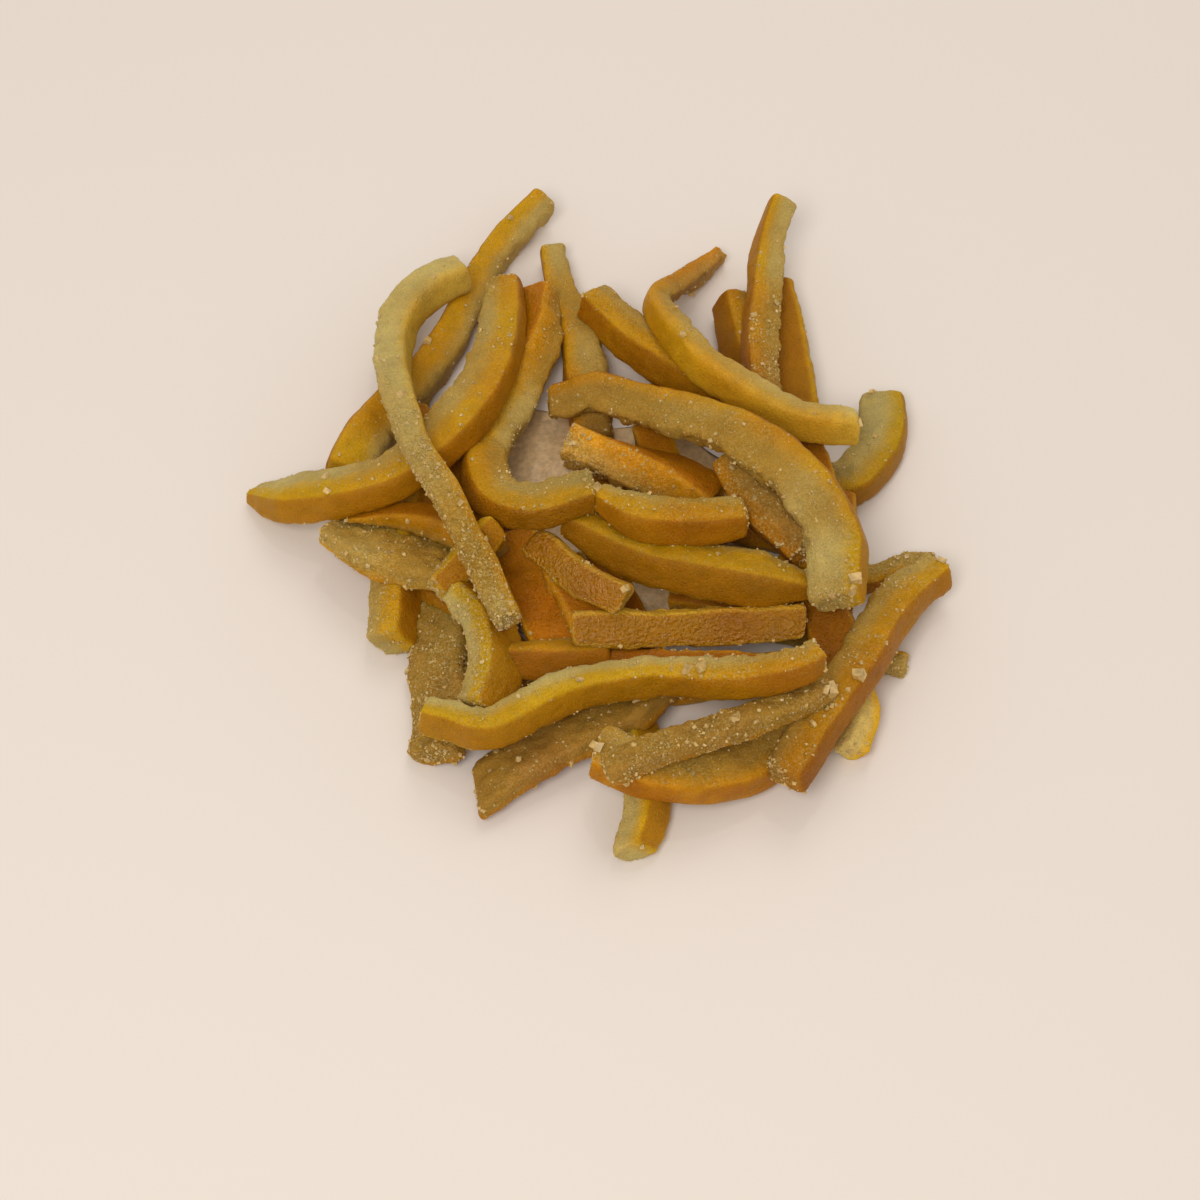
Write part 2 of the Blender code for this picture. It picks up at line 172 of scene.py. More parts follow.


# Lowest first. A strip's tone is partly painted light: strips that lie in shade are made brighter.
STRIPS = (
    strip("front_stub", 6.8, 5.5, [(6, -62), (8, -54.5), (7.5, -45), (5, -36), (3, -26)],
          turn=(55, 60, 20, 0), level=(3.2,), amber=(0.2,), warm=(0.1,), tone_and_painted_light=(1.08,),
          sugar=(0.35,), slant=(0.5, 0)),
    strip("front_left_wedge", 10, 4.5,
          [(-17.5, -52), (-12.5, -48), (-5.5, -44), (4, -39.5), (11.5, -33)],
          turn=(160, 140), level=(3, 5), tips=(0.75, 0.8), amber=(0.3,), warm=(0.85,),
          tone_and_painted_light=(1.0,), sugar=(0.35,), slant=(-0.55, 0)),
    strip("left_ragged", 10, 5,
          [(-24, -46), (-22.5, -38.5), (-23.5, -30), (-22.5, -20), (-19.5, -11.5)],
          turn=(150,), level=(3.2,), amber=(0.2,), warm=(0.6,), tone_and_painted_light=(0.92,), sugar=(0.7,),
          torn=1.1),
    strip("left_dark", 7, 4.5, [(-28, -12.5), (-22.5, -18.5), (-15.5, -25.5), (-8, -31.5)],
          turn=(-20,), level=(4,), amber=(0.6,), warm=(0.8,), tone_and_painted_light=(0.85,), sugar=(0.2,)),
    strip("right_sliver", 4, 4, [(48.5, -29), (42.5, -27.5), (35.5, -24.5), (27.5, -22.5)],
          level=(2.2,), amber=(0.2,), warm=(0.2,), sugar=(0.5,)),
    strip("right_foot", 6, 5, [(39, -45), (40.5, -38.5), (39, -31.5), (36, -23.5)],
          turn=(120,), level=(3, 5), amber=(0.3,), warm=(0.15,), tone_and_painted_light=(1.4,), sugar=(0.4,)),
    strip("right_backing", 4.5, 4,
          [(54, -10.5), (48.5, -11.5), (43, -13.5), (35.5, -14.5), (28, -16)],
          turn=(-90,), level=(2.5, 4), amber=(0.3,), warm=(0.4,), sugar=(0.7, 0.3)),
    strip("left_stub", 8.5, 7.5,
          [(-31, -26.5), (-30.5, -18.5), (-30, -9.5), (-28.5, -1.5), (-24.5, 7.5)],
          turn=(60,), level=(3.5,), amber=(0.45,), warm=(0.1, 0.5), sugar=(0.5,)),
    strip("back_left_arc", 5.5, 5.5,
          [(-8.5, 61), (-14, 55), (-18.5, 47.5), (-22.5, 37), (-26.5, 28), (-31.5, 20),
           (-36.5, 12), (-39.5, 4.5)],
          turn=(75,), level=(3,), curl=(12, 0), swell=(1, 1, 1.05, 1.1, 1.4, 1.6),
          amber=(0.5, 0.7), warm=(0.25, 0.4, 0.3), sugar=(0.25,)),
    strip("back_middle", 5.5, 5.5, [(-7, 52), (-5.5, 43.5), (-2.5, 35), (-1, 23), (0, 12)],
          level=(3,), curl=(8, 0), swell=(0.85, 1, 1.35, 1.3), amber=(0.2,), warm=(0.3, 0.6),
          sugar=(0.2, 0.4)),
    strip("right_hook", 6, 8.0,
          [(47.5, 21.5), (47, 14.5), (44, 7.5), (39.5, 4), (33, 5), (27.5, 8.5)],
          turn=(-80,), level=(3.3, 8), amber=(0.25,), warm=(0.05, 0.3), tone_and_painted_light=(0.86,),
          sugar=(0.35,)),
    strip("back_right_inner", 7, 5, [(22.5, 40.5), (24, 31.5), (26.5, 22.5), (28.5, 15)],
          turn=(60,), level=(4, 5), curl=(6, 0), amber=(0.4,), warm=(0.5,), tone_and_painted_light=(0.92,),
          sugar=(0.2,)),
    strip("back_right_dark", 8, 4.5, [(30, 43.5), (31.5, 31.5), (32.8, 13)],
          turn=(10,), level=(4, 5), curl=(6, 0), amber=(0.5,), warm=(0.4,), tone_and_painted_light=(0.9,),
          sugar=(0.1,)),
    strip("well_dark", 5.5, 4.5, [(-0.5, -3.5), (4, -16), (7.5, -27)], turn=(0,), level=(3,),
          amber=(0.6,), warm=(0.9,), tone_and_painted_light=(1.2,), sugar=(0.3,)),
    strip("under_left_long", 6, 5, [(-21, 16), (-20, 4), (-26, -6)], turn=(20,), level=(3,),
          hidden=True),
    strip("under_middle", 6, 5, [(-17, -2), (1, 2), (17, -2), (33, -6)], turn=(20,), level=(3,),
          hidden=True),
    strip("under_front", 6, 5, [(-1, -30), (13, -33), (29, -30)], turn=(20,), level=(3,),
          hidden=True),
    strip("wide_rind", 9, 4.5, [(-13, -5.5), (-8.5, -17.5), (-5, -28), (-1, -36)],
          turn=(10,), level=(6,), amber=(0.6,), warm=(0.65,), tone_and_painted_light=(1.6,), gloss=0.6),
    strip("right_low_dark", 5, 4.5, [(12, -16.5), (21.5, -19), (32, -21.5), (40, -19.5)],
          turn=(0,), level=(5,), amber=(0.6,), warm=(0.7,), tone_and_painted_light=(1.2,)),
    strip("middle_low_dark", 8, 4.5, [(-5, -14), (-0.5, -23), (1, -32)], turn=(0,), level=(8,),
          amber=(0.6,), warm=(0.7,), tone_and_painted_light=(1.45,), gloss=0.6),
    strip("under_left_short", 6, 5, [(-33, 6), (-25, -6), (-19, -18)], turn=(20,), level=(6,),
          hidden=True),
    strip("under_back", 6, 5, [(7, 21), (19, 18), (35, 6)], turn=(10,), level=(6,), hidden=True),
    strip("under_right", 6, 5, [(39, 0), (38, -10), (31, -26)], turn=(0,), level=(6,),
          hidden=True),
    strip("prop_middle", 6, 5, [(9, 12), (12, -2), (13, -16)], turn=(0,), level=(8,),
          hidden=True),
    strip("prop_right", 6, 5, [(34, 8), (35, -2), (31, -16)], turn=(0,), level=(9,),
          hidden=True),
    strip("prop_left", 6, 5, [(-29, 14), (-21, -1), (-15, -13)], turn=(0,), level=(9,),
          hidden=True),
    strip("bar_backing", 5.0, 4.5, [(1, -32.5), (12, -33), (24, -33), (35, -31.5)],
          turn=(10,), level=(8,), amber=(0.4,), warm=(0.85,), tone_and_painted_light=(1.25,), sugar=(0.6,)),
    strip("left_wide", 13.5, 5.0, [(-41, -6.5), (-33, -10.5), (-24.5, -13.5), (-16, -16.5)],
          turn=(155,), amber=(0.25,), warm=(0.35, 0.6), tone_and_painted_light=(1.1,), sugar=(0.6,), torn=0.8,
          swell=(0.8, 1.05, 1, 0.9)),
    strip("right_dark", 7.5, 4.5, [(34.5, -20), (37, -29), (37.5, -37.5)],
          turn=(10,), level=(9,), amber=(0.5,), warm=(0.7,), tone_and_painted_light=(0.92,), gloss=0.6),
    strip("middle_lens", 9.5, 7.5, [(-4, 7.2), (4.5, 3.2), (12, 0.2), (19.5, -3.8)],
          turn=(-75, -20), level=(10,), amber=(0.3, 0.6), warm=(0.7,), tone_and_painted_light=(1.55, 1.15),
          sugar=(0.6, 0.5, 0.2), gloss=0.5, torn=0.9),
    strip("back_right_tall", 5.5, 5.5,
          [(31.5, 54.5), (29.5, 48.5), (28, 37.5), (27, 26), (27, 12)],
          turn=(70,), level=(8, 12), curl=(12, 0), amber=(0.25, 0.4), warm=(0.05, 0.5, 0.9),
          tone_and_painted_light=(1.05, 1.0), sugar=(0.05, 0.6, 0.7)),
    strip("back_slope", 7, 6.5, [(-0.5, 38), (7.5, 28.5), (18, 19), (25, 12.5)],
          turn=(75,), level=(7, 11), curl=(4, 0), amber=(0.45,), warm=(0.3,), sugar=(0.35,)),
    strip("front_block", 6, 5, [(-13, -32), (-3.5, -32.5), (2.5, -31.5)], turn=(50,), level=(9,),
          amber=(0.6,), warm=(0.5,), tone_and_painted_light=(1.0,), sugar=(0.3,)),
    strip("left_band", 4.5, 4.5, [(-38.5, -7.5), (-30, -7.5), (-23.5, -9.5), (-17.5, -14)],
          turn=(-20,), level=(12, 13), tips=(0.3, 0.9), swell=(0.6, 0.8, 1.1, 1.2),
          amber=(0.6,), warm=(0.6,), tone_and_painted_light=(0.95,), sugar=(0.2,)),
    strip("left_upright", 9.5, 5.2, [(-20, -20.5), (-16, -26), (-14.5, -34), (-16.5, -42)],
          turn=(-50,), level=(10,), amber=(0.35,), warm=(0.15, 0.2), sugar=(0.8,),
          torn=0.8),
    strip("glossy_bar", 5.6, 4.5, [(-3, -29.5), (8.5, -28), (19.5, -27), (32.5, -27)],
          turn=(40,), level=(13,), amber=(0.7,), warm=(0.3,), tone_and_painted_light=(1.1,), sugar=(0.2,), gloss=1.0),
    strip("glossy_bend", 5.8, 4.5, [(-9, -12), (-5.5, -16.5), (-1.5, -21.5), (5, -26)],
          turn=(30,), level=(16, 15), amber=(0.7,), warm=(0.3,), tone_and_painted_light=(1.1,), sugar=(0.2,),
          gloss=1.0),
    strip("front_smile", 6, 8.5,
          [(0.5, -49), (7.5, -51), (15.5, -51), (24, -47.5), (30.5, -40.5)],
          turn=(85,), level=(9,), amber=(0.12,), warm=(0.55,), tone_and_painted_light=(1.1,), sugar=(0.45,)),
    strip("right_long", 6, 7,
          [(54, -14), (48.5, -19.5), (44, -26.5), (40.5, -33.5), (36.5, -40), (32.5, -46),
           (28.5, -52.5)],
          turn=(-75,), level=(8, 13), curl=(5, 0), amber=(0.35, 0.55), warm=(0.3, 0.5, 0.85),
          tone_and_painted_light=(1, 0.97, 0.86), sugar=(0.5,)),
    strip("middle_long", 7, 7.0,
          [(-4, -9.5), (4, -14), (12, -17.3), (21, -19.8), (33.2, -22.8)],
          turn=(65,), level=(14,), tips=(0.8, 0.4), swell=(0.85, 0.95, 1.05, 1.1, 1.1),
          amber=(0.75, 0.6), warm=(0.4, 0.35, 0.25), tone_and_painted_light=(0.86,), sugar=(0.3,)),
    strip("left_short", 5.0, 4.6, [(-15, -12), (-18.5, -16), (-23.8, -21.5)],
          turn=(-30,), level=(15, 12), amber=(0.6,), warm=(0.15,), tone_and_painted_light=(1.05,),
          sugar=(0.3, 0.8), gloss=0.5),
    strip("j_strip", 5.8, 7,
          [(-9, 40), (-9, 30), (-13, 16.5), (-16.5, 4), (-15.5, -5.5), (-9.5, -9), (0, -7)],
          turn=(20, 70, 80, 80), level=(8, 13, 18), amber=(0.4, 0.45, 0.45, 0.35),
          warm=(0.5, 0.4, 0.4, 0.3), tone_and_painted_light=(1.2, 1.15, 1.0, 0.82),
          sugar=(0.3, 0.3, 0.3, 0.7), gloss=0.6),
    strip("left_arc", 6, 7.8,
          [(-55, 3.5), (-46.5, -1.5), (-34.5, -3), (-25.5, 1.5), (-18.5, 11), (-15, 25),
           (-14.5, 39.5)],
          turn=(75,), level=(4, 12, 20, 20, 14), tips=(0.45, 0.85),
          swell=(1, 1, 1, 1, 0.95, 0.8), amber=(0.35, 0.5),
          warm=(0.1, 0.35, 0.45), sugar=(0.2, 0.35)),
    strip("right_inner", 6, 6, [(21, 0.5), (25, -7), (29.5, -12.5), (32.5, -16)],
          turn=(110,), level=(15,), amber=(0.35,), warm=(0.75,), sugar=(0.6,)),
    strip("middle_smile", 6.3, 6.4, [(0.5, -8), (7, -12), (15, -13), (23.5, -12)],
          turn=(75,), level=(18,), tips=(0.5, 0.8), amber=(0.5,), warm=(0.4,), sugar=(0.4,)),
    strip("back_hook", 5.7, 4.2,
          [(21.5, 52), (16, 44.5), (11.0, 37.5), (10.8, 32), (14, 23.5), (18.5, 16.5),
           (26.5, 10.5), (32.5, 8), (42, 8.5)],
          turn=(75,), level=(12, 14, 17, 17), curl=(10, 0), swell=(0.85, 0.95, 1.1, 1.15),
          amber=(0.4,), warm=(0.75, 0.5, 0.3, 0.1), tone_and_painted_light=(1.25, 1.05, 1.15, 1.2), sugar=(0.2,),
          skin=(1, 0.6, 0.3, 0.2)),
    strip("big_arc", 5, 7.5,
          [(-7, 17), (1, 16.5), (9, 11), (17, 5.5), (24, 0), (30, -5.5), (34.5, -11.5),
           (37, -18.5), (37, -27)],
          turn=(-70,), level=(16, 20, 24, 20), swell=(0.85, 0.95, 1, 1.15, 1.2),
          amber=(0.2,), warm=(0.6, 0.4, 0.2), sugar=(0.3, 0.4, 0.6), torn=1.2),
    strip("front_sugared", 4.8, 4.4,
          [(2, -54), (10, -50.5), (19, -47), (28, -43.5), (35.5, -40.5)],
          turn=(160,), level=(14,), amber=(0.15,), warm=(0.7,), tone_and_painted_light=(0.95,), sugar=(0.65,),
          torn=0.9),
    strip("front_backing", 5.0, 4.5, [(20, -41.5), (26, -41), (32, -39), (38, -37)],
          turn=(20,), level=(4,), tips=(0.8, 0.8), amber=(0.4,), warm=(0.85,), sugar=(0.5,)),
    strip("front_long", 6.4, 4.7,
          [(-25.5, -42), (-21.5, -43.5), (-16, -45.5), (-11, -43.5), (-5, -40), (1, -38),
           (8.5, -37.5), (16, -39), (23, -40), (30.5, -39.5), (33.5, -38)],
          turn=(80,), level=(14, 18, 20), amber=(0.45,), warm=(0.05, 0.2, 0.3),
          sugar=(0.3, 0.6)),
    strip("top_left_s", 4.8, 4.8,
          [(-21.5, 43), (-27, 40), (-31, 34.5), (-32.5, 26.5), (-31.5, 15), (-29.5, 6),
           (-27.5, -1), (-24.5, -6.5), (-21, -12), (-18.5, -17.5), (-15.5, -23), (-12.5, -29)],
          turn=(-70, -85, -85), level=(18, 24, 29, 24), swell=(1.3, 1.2, 1, 1.0),
          tone_and_painted_light=(1.1, 1.0), amber=(0.1, 0.15, 0.25), warm=(0.0, 0.05, 0.35, 0.45),
          sugar=(0.1, 0.3, 1.0, 1.0),
          skin=(0.1, 0.2, 0.5, 0.8)),
)


# ---------------------------------------------------------------- laying

def along_values(values, count):
    """Spreads a few values evenly over count stations."""
    values = list(values)
    if len(values) == 1:
        values = values * 2
    return np.interp(np.linspace(0, 1, count), np.linspace(0, 1, len(values)), values)


def smooth_route(points, step=STEP):
    """Stations about step apart on a Catmull-Rom curve through the plan points."""
    p = np.asarray(points, float)
    ends = np.vstack([2 * p[0] - p[1], p, 2 * p[-1] - p[-2]])
    t = np.linspace(0, 1, 24, endpoint=False)[:, None]
    pieces = []
    for a, b, c, d in zip(ends[:-3], ends[1:-2], ends[2:-1], ends[3:]):
        square = (2 * a - 5 * b + 4 * c - d) * t ** 2
        cube = (3 * b - a - 3 * c + d) * t ** 3
        pieces.append(0.5 * (2 * b + (c - a) * t + square + cube))
    fine = np.vstack(pieces + [p[-1:]])
    run = np.concatenate([[0], np.cumsum(np.linalg.norm(np.diff(fine, axis=0), axis=1))])
    count = max(4, int(round(run[-1] / step)) + 1)
    want = np.linspace(0, run[-1], count)
    stations = np.stack([np.interp(want, run, fine[:, k]) for k in range(2)], axis=1)
    return stations, run[-1]


def section_ring(sides, squareness=SQUARENESS):
    """A unit rounded oblong: first column across the rind, second from pith to rind."""
    angle = np.linspace(0, 2 * math.pi, sides, endpoint=False)
    ring = np.stack([np.cos(angle), np.sin(angle)], axis=1)
    return np.sign(ring) * np.abs(ring) ** (2 / squareness) / 2


def size_along(row, run, length):
    """How much the section is scaled at each distance along the strip."""
    swell = np.linspace(0, length, max(2, len(row["swell"])))
    size = np.interp(run, swell, row["swell"])
    size = size * np.interp(run, [0, TIP_LENGTH], [row["tips"][0], 1])
    return size * np.interp(length - run, [0, TIP_LENGTH], [row["tips"][1], 1])


def sections(row, count, length, sides):
    """Sideways and upward offsets of every section point, for every station."""
    ring = section_ring(sides) * (row["width"], row["depth"])
    size = size_along(row, np.linspace(0, length, count), length)
    turn = np.radians(along_values(row["turn"], count))[:, None]
    across = ring[None, :, 0] * size[:, None]
    outward = ring[None, :, 1] * size[:, None]
    sideways = across * np.cos(turn) + outward * np.sin(turn)
    upward = outward * np.cos(turn) - across * np.sin(turn)
    return sideways, upward


def right_of_travel(stations):
    ahead = np.gradient(stations, axis=0)
    ahead /= np.linalg.norm(ahead, axis=1)[:, None]
    return np.stack([ahead[:, 1], -ahead[:, 0]], axis=1)


def grid_cells(x, y):
    last = int(2 * REACH / GRID)
    i = np.clip(np.rint((x + REACH) / GRID).astype(int), 0, last)
    j = np.clip(np.rint((y + REACH) / GRID).astype(int), 0, last)
    return i, j


def sag(support, spacing):
    """Heights of a heavy bendy bar over its supports: bending against weight and contact."""
    count = len(support)
    second = np.zeros((count - 2, count))
    for i in range(count - 2):
        second[i, i:i + 3] = (1, -2, 1)
    second /= spacing ** 2
    bending = STIFFNESS * spacing * second.T @ second
    touching = np.ones(count, bool)
    height = support.copy()
    for _ in range(SAG_ROUNDS):
        push = np.where(touching, CONTACT, 0.0)
        matrix = bending + np.diag(push) + np.eye(count) * 1e-4
        height = np.linalg.solve(matrix, push * support - spacing + 1e-4 * height)
        now = height < support
        if not now.any():
            now[np.argmin(height - support)] = True
        if (now == touching).all():
            break
        touching = now
    return height


def lay(row, ground):
    """Finds the strip's resting heights on the ground grid."""
    stations, length = smooth_route(row["route"])
    count = len(stations)
    right = right_of_travel(stations)
    sideways, upward = sections(row, count, length, SECTION_SIDES)
    x = stations[:, None, 0] + sideways * right[:, None, 0]
    y = stations[:, None, 1] + sideways * right[:, None, 1]
    below = ground[grid_cells(x, y)] - upward
    support = np.where(upward < 0.15 * row["depth"], below, -1e9).max(axis=1)
    on_table = -upward.min(axis=1)
    cap = np.maximum(along_values(row["level"], count), on_table)
    support = np.clip(support, on_table, cap)
    run = np.linspace(0, length, count)
    raised = row["curl"][0] * np.clip(1 - run / CURL_LENGTH, 0, 1) ** 2
    raised += row["curl"][1] * np.clip(1 - (length - run) / CURL_LENGTH, 0, 1) ** 2
    height = sag(support - raised, length / (count - 1)) + raised
    return stations, height, right, length


def raise_ground(row, laid, ground):
    """Adds a laid strip's top to the height grid."""
    stations, height, right, length = laid
    finer = 4
    count = (len(stations) - 1) * finer + 1
    at = np.linspace(0, 1, count)
    old = np.linspace(0, 1, len(stations))
    centre = np.stack([np.interp(at, old, stations[:, k]) for k in range(2)], axis=1)
    side = np.stack([np.interp(at, old, right[:, k]) for k in range(2)], axis=1)
    top = np.interp(at, old, height)
    sideways, upward = sections(row, count, length, SECTION_SIDES)
    for share in (0.0, 0.34, 0.67):
        s = sideways * (1 - share) + np.roll(sideways, -1, axis=1) * share
        u = upward * (1 - share) + np.roll(upward, -1, axis=1) * share
        x = centre[:, None, 0] + s * side[:, None, 0]
        y = centre[:, None, 1] + s * side[:, None, 1]
        np.maximum.at(ground, grid_cells(x, y), top[:, None] + u)


# ---------------------------------------------------------------- noise

NOISE_SIZE = 32


def noise(points, cell, seed, octaves=1):
    """Smooth random values from -1 to 1 at points (..., 3), with lumps about cell across."""
    total = np.zeros(points.shape[:-1])
    weight = 0.0
    for octave in range(octaves):
        table = np.random.default_rng(seed * 31 + octave).random((NOISE_SIZE,) * 3)
        at = points / (cell * 0.5 ** octave) + 100.0
        low = np.floor(at).astype(int)
        part = at - low
        part = part * part * (3 - 2 * part)
        value = 0.0
        for corner in np.ndindex(2, 2, 2):
            share = np.prod(np.where(corner, part, 1 - part), axis=-1)
            index = (low + corner) % NOISE_SIZE
            value = value + share * table[index[..., 0], index[..., 1], index[..., 2]]
        total += (2 * value - 1) * 0.5 ** octave
        weight += 0.5 ** octave
    return total / weight


def smooth_step(low, high, value):
    part = np.clip((value - low) / (high - low), 0, 1)
    return part * part * (3 - 2 * part)


# ---------------------------------------------------------------- shaping

def even_ring(row, cell):
    """Section points about a cell apart."""
    dense = section_ring(720, CRISPNESS) * (row["width"], row["depth"])
    loop = np.vstack([dense, dense[:1]])
    run = np.concatenate([[0], np.cumsum(np.linalg.norm(np.diff(loop, axis=0), axis=1))])
    sides = max(16, int(round(run[-1] / cell)))
    want = np.linspace(0, run[-1], sides, endpoint=False)
    return np.stack([np.interp(want, run, loop[:, k]) for k in range(2)], axis=1)


def ring_schedule(row, length, cell):
    """Distance along the strip and inset scale of every ring, cut ends included."""
    half = 0.5 * min(row["width"], row["depth"])
    flat = np.linspace(0.12, 1 - END_ROUND / half, END_CELLS)
    bend = np.radians([72, 54, 36, 18])
    start = np.concatenate([np.zeros(END_CELLS), END_ROUND * (1 - np.sin(bend))])
    inset = np.concatenate([flat, 1 - END_ROUND / half * (1 - np.cos(bend))])
    count = max(4, int((length - 2 * END_ROUND) / cell))
    body = np.linspace(END_ROUND, length - END_ROUND, count)
    run = np.concatenate([start, body, length - start[::-1]])
    scale = np.concatenate([inset, np.ones(count), inset[::-1]])
    return run, scale


def smoothed(values, width):
    """A moving average that keeps both ends."""
    if width < 3:
        return values
    kernel = np.hanning(width + 2)[1:-1]
    kernel /= kernel.sum()
    edge = width // 2
    padded = np.concatenate([2 * values[0] - values[edge:0:-1], values,
                             2 * values[-1] - values[-2:-edge - 2:-1]])
    return np.convolve(padded, kernel, "valid")[:len(values)]


def shape_strip(row, laid, seed):
    """Points (rings, sides, 3) in mm, and each one's depth, distance and share along."""
    cell = HIDDEN_CELL if row["hidden"] else CELL
    _, height, _, length = laid
    centre, _ = smooth_route(row["route"], FINE_STEP)
    at = np.linspace(0, length, len(centre))
    height = np.interp(at, np.linspace(0, length, len(height)), height)
    height = smoothed(height, HEIGHT_WINDOW)
    eased = np.stack([smoothed(centre[:, k], ROUTE_WINDOW) for k in range(2)], axis=1)
    right = right_of_travel(eased)
    ring = even_ring(row, cell)
    run, inset = ring_schedule(row, length, cell)
    place = np.stack([np.interp(run, at, centre[:, k]) for k in range(2)], axis=1)
    right = np.stack([np.interp(run, at, right[:, k]) for k in range(2)], axis=1)
    right /= np.linalg.norm(right, axis=1)[:, None]
    ahead = np.stack([-right[:, 1], right[:, 0]], axis=1)
    rise = np.interp(run, at, height)
    turn = np.radians(spread(row["turn"], run / length))[:, None]
    lengthwise = np.stack([run, np.full_like(run, seed), np.zeros_like(run)], axis=1)
    uneven = size_along(row, run, length)
    wide = uneven * (1 + UNEVEN * noise(lengthwise, UNEVEN_SIZE, seed + 5, 2))
    deep = uneven * (1 + UNEVEN * noise(lengthwise, UNEVEN_SIZE, seed + 6, 2))
    across = ring[None, :, 0] * (wide * inset)[:, None]
    outward = ring[None, :, 1] * (deep * inset)[:, None]
    sideways = across * np.cos(turn) + outward * np.sin(turn)
    upward = outward * np.cos(turn) - across * np.sin(turn)
    near_start = np.clip(1 - run / TIP_LENGTH, 0, 1)[:, None]
    near_end = np.clip(1 - (length - run) / TIP_LENGTH, 0, 1)[:, None]
    skew = sideways * (row["slant"][0] * near_start + row["slant"][1] * near_end)
    flat = (place[:, None, :] + sideways[..., None] * right[:, None, :]
            + skew[..., None] * ahead[:, None, :])
    up = rise[:, None] + upward - SINK
    points = np.concatenate([flat, up[..., None]], axis=-1)
    depth = outward / (row["depth"] * deep)[:, None] + 0.5
    run = np.broadcast_to(run[:, None], depth.shape)
    return points, depth, run, run / length


def spread(values, share):
    """Reads a few values given along a strip at shares of its length."""
    values = values if len(values) > 1 else values * 2
    return np.interp(share, np.linspace(0, 1, len(values)), values)


def outward_normals(points):
    along = np.gradient(points, axis=0)
    around = np.roll(points, -1, axis=1) - np.roll(points, 1, axis=1)
    normal = np.cross(around, along)
    size = np.linalg.norm(normal, axis=-1, keepdims=True)
    normal = normal / np.maximum(size, 1e-9)
    middle = points.mean(axis=1, keepdims=True)
    body = slice(len(points) // 3, 2 * len(points) // 3)
    facing = ((points - middle) * normal).sum(-1)[body].mean()
    return normal if facing > 0 else -normal


def relief(row, points, depth, share, seed):
    """How far each point is pushed out in mm, and how much it is sugared and is rind.

    The push is lumps, torn pith, grit and the pores of the rind.
    """
    sugar = spread(row["sugar"], share)
    patch = smooth_step(-0.5, 0.5, noise(points, 3.2, seed + 11, 2))
    sugar = np.clip(sugar * (0.55 + 0.75 * patch), 0, 1)
    rind = smooth_step(0.90, 0.985, depth)
    pith = 1 - smooth_step(0.02, 0.20, depth)
    cut = 1 - rind
    push = LUMP_PUSH * noise(points, LUMP_SIZE, seed + 1)
    push += BUMP_PUSH * noise(points, BUMP_SIZE, seed + 2, 2) * (0.4 + 0.6 * cut)
    bites = noise(points, BITE_SIZE, seed + 3, 2)
    bites = bites + 0.5 * noise(points, TUFT_SIZE, seed + 13, 2)
    push += row["torn"] * pith * (np.clip(bites, -0.9, 0.5) - 0.15)
    grit = GRIT_PUSH + SUGAR_GRIT_PUSH * sugar
    push += cut * grit * noise(points, GRIT_SIZE, seed + 4, 2)
    pores = smooth_step(0.15, 0.75, noise(points, PORE_SIZE, seed + 7))
    push -= rind * (PORE_DEPTH + GLOSSY_PORE_DEPTH * row["gloss"]) * pores
    return push, sugar, rind


def strip_mesh(row, laid, seed):
    """Vertices in mm, quads and end fans, and the finish values of each vertex."""
    points, depth, run, share = shape_strip(row, laid, seed)
    push, sugar, rind = relief(row, points, depth, share, seed)
    points = points + outward_normals(points) * push[..., None]
    points[..., 2] = np.maximum(points[..., 2], CLEARANCE)
    rings, sides = points.shape[:2]
    fibre = np.stack([run / 5.0, np.zeros_like(run), depth * row["depth"] / 0.8], axis=-1)
    streak = noise(fibre, 1.0, seed + 8, 2)
    edge = 1 - spread(row["amber"], share)
    wander = 0.10 * noise(points, 3.0, seed + 9, 2) + 0.05 * streak
    steeped = smooth_step(edge - 0.38, edge + 0.24, depth + wander)
    steeped = steeped * (1 - 0.5 * (1 - spread(row["skin"], share)))
    patchy = 0.10 * noise(points, 4.0, seed + 12, 2)
    finish = {
        "rind": 0.72 * steeped + 0.28 * rind * spread(row["skin"], share),
        "sugar": sugar * (1 - 0.75 * rind),
        "warm": np.clip(spread(row["warm"], share) + 0.22 * noise(points, 7.0, seed + 10), 0, 1),
        # painted light: the strip's tone brightens strips that lie in shade; the random patches and
        # streaks are the peel's own
        "tone_and_painted_light": spread(row["tone_and_painted_light"], share) * (1 + patchy + 0.05 * streak),
        "gloss": np.full(points.shape[:2], row["gloss"]) * (0.35 + 0.65 * rind),
        "grains": (0.03 + sugar ** 2) * (1 - rind) * (0 if row["hidden"] else 1),
    }
    verts = points.reshape(-1, 3)
    ids = np.arange(rings * sides).reshape(rings, sides)
    a, b = ids[:-1], ids[1:]
    quads = np.stack([a, np.roll(a, -1, 1), np.roll(b, -1, 1), b], axis=-1).reshape(-1, 4)
    tips = points[[0, -1]].mean(axis=1)
    verts = np.vstack([verts, tips])
    first, last = len(verts) - 2, len(verts) - 1
    around = np.arange(sides)
    after = (around + 1) % sides
    fans = np.concatenate([
        np.stack([np.full(sides, first), after, around], axis=-1),
        np.stack([np.full(sides, last), ids[-1][around], ids[-1][after]], axis=-1)])
    values = {}
    for key, grid in finish.items():
        values[key] = np.concatenate([grid.reshape(-1), grid[[0, -1]].mean(axis=1)])
    return verts, quads, fans, values


